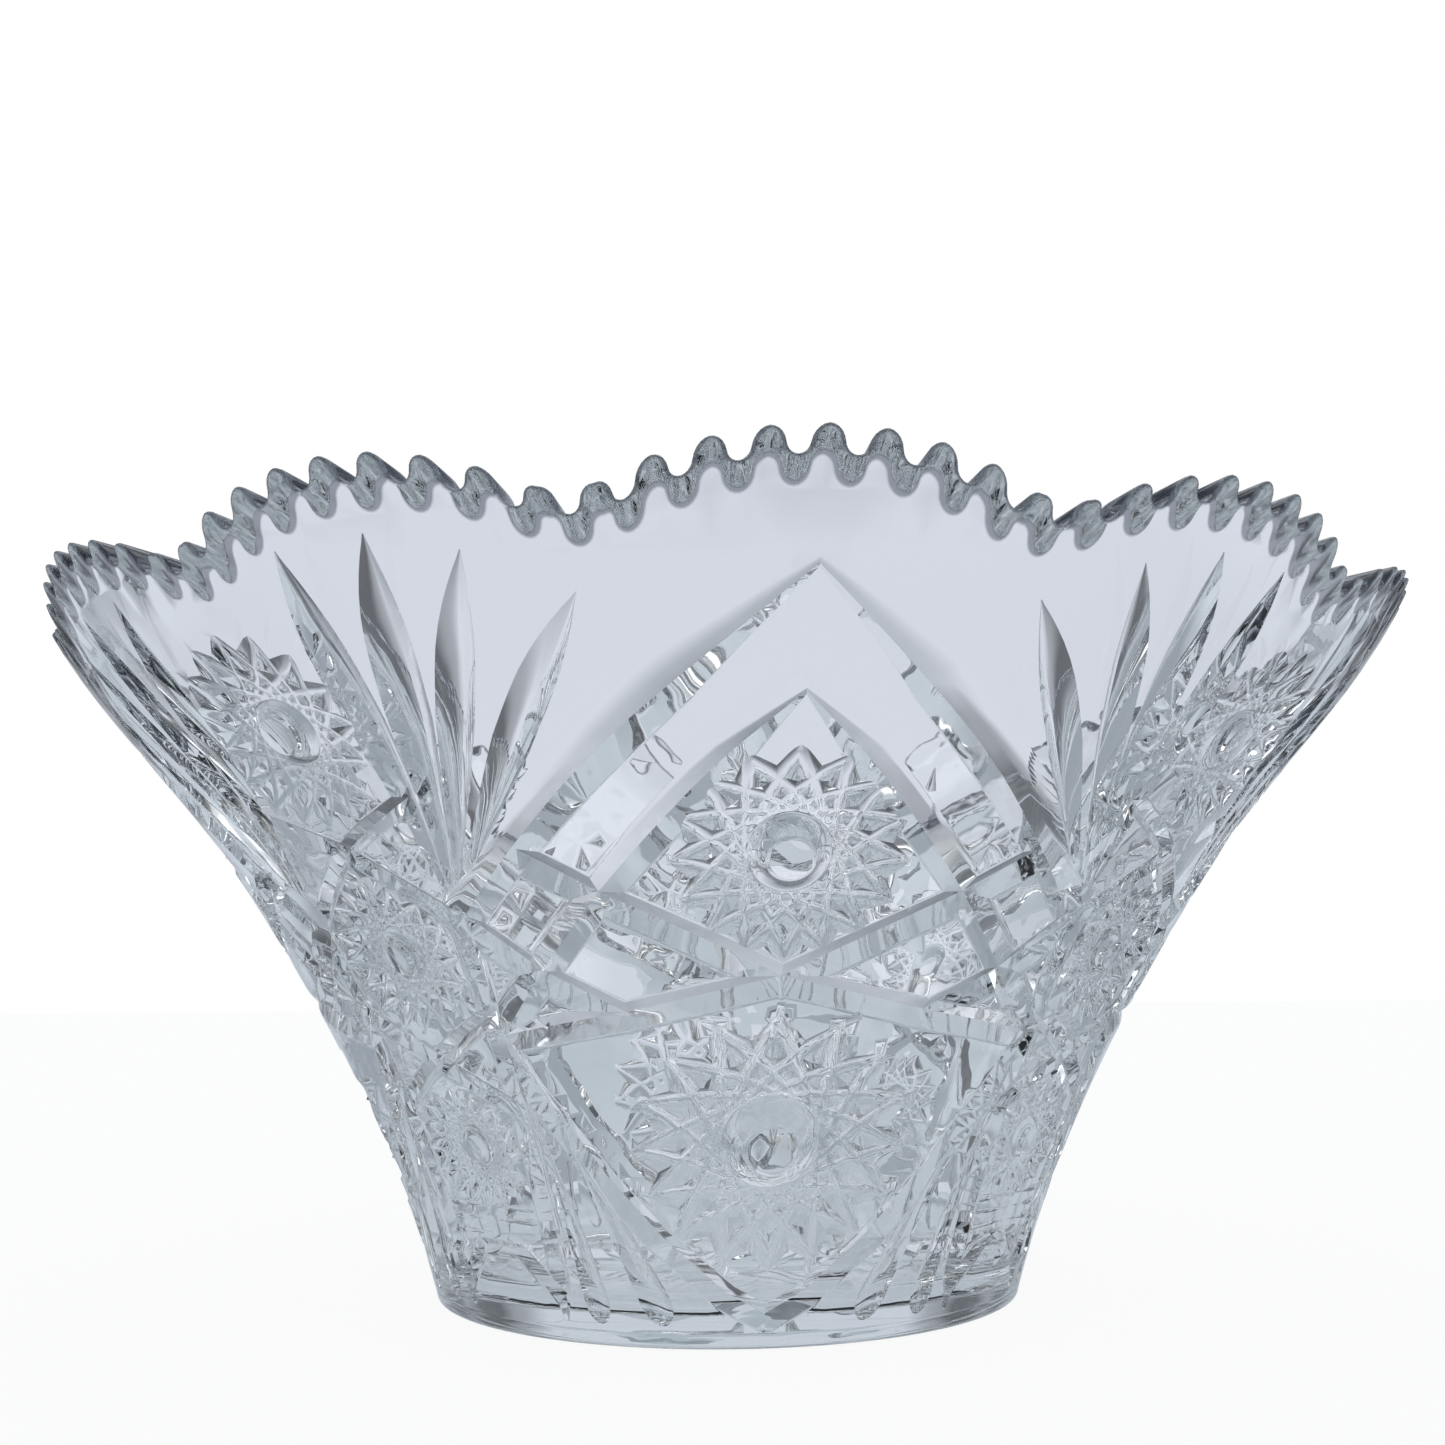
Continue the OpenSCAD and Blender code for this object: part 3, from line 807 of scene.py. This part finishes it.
def make_floor():
    mesh = bpy.data.meshes.new("floor")
    s = FLOOR_HALF
    corners = [(x, y, FLOOR_Z) for x, y in ((-s, -s), (s, -s), (s, s), (-s, s))]
    mesh.from_pydata(corners, [], [(0, 1, 2, 3)])
    floor = bpy.data.objects.new("floor", mesh)
    bpy.context.scene.collection.objects.link(floor)
    mat = bpy.data.materials.new("white_table")
    mat.use_nodes = True
    nodes, links = mat.node_tree.nodes, mat.node_tree.links
    nodes.clear()
    plain = nodes.new("ShaderNodeBsdfDiffuse")
    plain.inputs["Color"].default_value = (0.80, 0.84, 0.89, 1)
    white = nodes.new("ShaderNodeEmission")
    white.inputs["Color"].default_value = (1, 1, 1, 1)
    glow = nodes.new("ShaderNodeMath")
    glow.operation = "MULTIPLY"
    glow.inputs[1].default_value = 0.92
    links.new(seen_by(nodes, links, "Is Camera Ray"), glow.inputs[0])
    # The glass shows the table with painted light, an emission that is bright close to the bowl and further off, with
    # a painted dim ring between.
    place, away = nodes.new("ShaderNodeTexCoord"), nodes.new("ShaderNodeVectorMath")
    away.operation = "LENGTH"
    painted_pools = nodes.new("ShaderNodeValToRGB")
    near, ring, painted_lit_again, far = (0.55, 0.61, 0.67), (0.24, 0.28, 0.32), (0.60, 0.66, 0.72), (0.50, 0.56, 0.62)
    fill_ramp(painted_pools, [(0.0, near), (0.13, near), (0.18, ring), (0.30, ring), (0.42, painted_lit_again), (1.0, far)])
    # Painted pools of light: the floor glows as an emission that only the glass sees.
    painted_pool_glow = nodes.new("ShaderNodeEmission")
    links.new(place.outputs["Object"], away.inputs[0])
    links.new(away.outputs["Value"], painted_pools.inputs[0])
    links.new(painted_pools.outputs[0], painted_pool_glow.inputs["Color"])
    mirrored = nodes.new("ShaderNodeMath")
    mirrored.operation = "MULTIPLY"
    mirrored.inputs[1].default_value = 0.75
    links.new(seen_by(nodes, links, "Is Glossy Ray", "Is Transmission Ray"), mirrored.inputs[0])
    glass_sees, camera_sees = nodes.new("ShaderNodeMixShader"), nodes.new("ShaderNodeMixShader")
    end = nodes.new("ShaderNodeOutputMaterial")
    links.new(mirrored.outputs[0], glass_sees.inputs[0])
    links.new(plain.outputs[0], glass_sees.inputs[1])
    links.new(painted_pool_glow.outputs[0], glass_sees.inputs[2])
    links.new(glow.outputs[0], camera_sees.inputs[0])
    links.new(glass_sees.outputs[0], camera_sees.inputs[1])
    links.new(white.outputs[0], camera_sees.inputs[2])
    links.new(camera_sees.outputs[0], end.inputs[0])
    mesh.materials.append(mat)


def make_world():
    world = bpy.data.worlds.new("studio")
    bpy.context.scene.world = world
    world.use_nodes = True
    nodes, links = world.node_tree.nodes, world.node_tree.links
    nodes.clear()
    place = nodes.new("ShaderNodeTexCoord")
    split = nodes.new("ShaderNodeSeparateXYZ")
    ramp = nodes.new("ShaderNodeValToRGB")
    level, raised, half_dark = (0.70, 0.73, 0.81), (0.71, 0.74, 0.82), (0.42, 0.45, 0.50)
    dark, overhead = (0.14, 0.16, 0.18), (1.7, 1.75, 1.8)
    fill_ramp(ramp, [(0.0, level), (0.27, raised), (0.42, half_dark), (0.54, dark), (0.72, dark),
                     (0.78, overhead), (1.0, overhead)])
    # A pale screen behind the bowl and one on each side, with dark gaps between them and a dim room on the near side
    steps = [nodes.new("ShaderNodeMath") for _ in range(4)]
    for step, work in zip(steps, ("ARCTAN2", "SUBTRACT", "ABSOLUTE", "DIVIDE")):
        step.operation = work
    around, turned, aside, half_turns = steps
    turned.inputs[1].default_value = math.radians(VIEW_A)
    half_turns.inputs[1].default_value = math.pi
    screens = nodes.new("ShaderNodeValToRGB")
    tones = [(0, 1.0), (22.5, 1.0), (27, 0.55), (30, 0.45), (33, 0.14), (40, 0.14), (45, 0.48), (50, 0.14),
             (57, 0.14), (61, 0.5), (67, 1.0), (112, 1.0), (125, 0.34), (180, 0.34)]
    fill_ramp(screens, [(angle / 180, (tone, tone, tone)) for angle, tone in tones])
    links.new(split.outputs["X"], around.inputs[0])
    links.new(split.outputs["Y"], around.inputs[1])
    links.new(around.outputs[0], turned.inputs[0])
    links.new(turned.outputs[0], aside.inputs[0])
    links.new(aside.outputs[0], half_turns.inputs[0])
    links.new(half_turns.outputs[0], screens.inputs[0])
    light = nodes.new("ShaderNodeBackground")
    light.inputs["Color"].default_value = (0.8, 0.82, 0.85, 1)
    shown = nodes.new("ShaderNodeBackground")
    white = nodes.new("ShaderNodeBackground")
    white.inputs["Color"].default_value = (1, 1, 1, 1)
    glass_sees, camera_sees = nodes.new("ShaderNodeMixShader"), nodes.new("ShaderNodeMixShader")
    end = nodes.new("ShaderNodeOutputWorld")
    links.new(place.outputs["Generated"], split.inputs[0])
    links.new(split.outputs["Z"], ramp.inputs[0])
    links.new(ramp.outputs[0], shown.inputs["Color"])
    links.new(screens.outputs[0], shown.inputs["Strength"])
    links.new(seen_by(nodes, links, "Is Glossy Ray", "Is Transmission Ray"), glass_sees.inputs[0])
    links.new(light.outputs[0], glass_sees.inputs[1])
    links.new(shown.outputs[0], glass_sees.inputs[2])
    links.new(seen_by(nodes, links, "Is Camera Ray"), camera_sees.inputs[0])
    links.new(glass_sees.outputs[0], camera_sees.inputs[1])
    links.new(white.outputs[0], camera_sees.inputs[2])
    links.new(camera_sees.outputs[0], end.inputs[0])


bowl = make_bowl()
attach(bowl, "root")
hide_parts(*frame["nodes"])
make_floor()
make_world()
make_camera()

view = bpy.context.scene.view_settings
view.view_transform = "Standard"
path = bpy.context.scene.cycles
path.max_bounces = 32
path.transmission_bounces = 32
path.glossy_bounces = 12
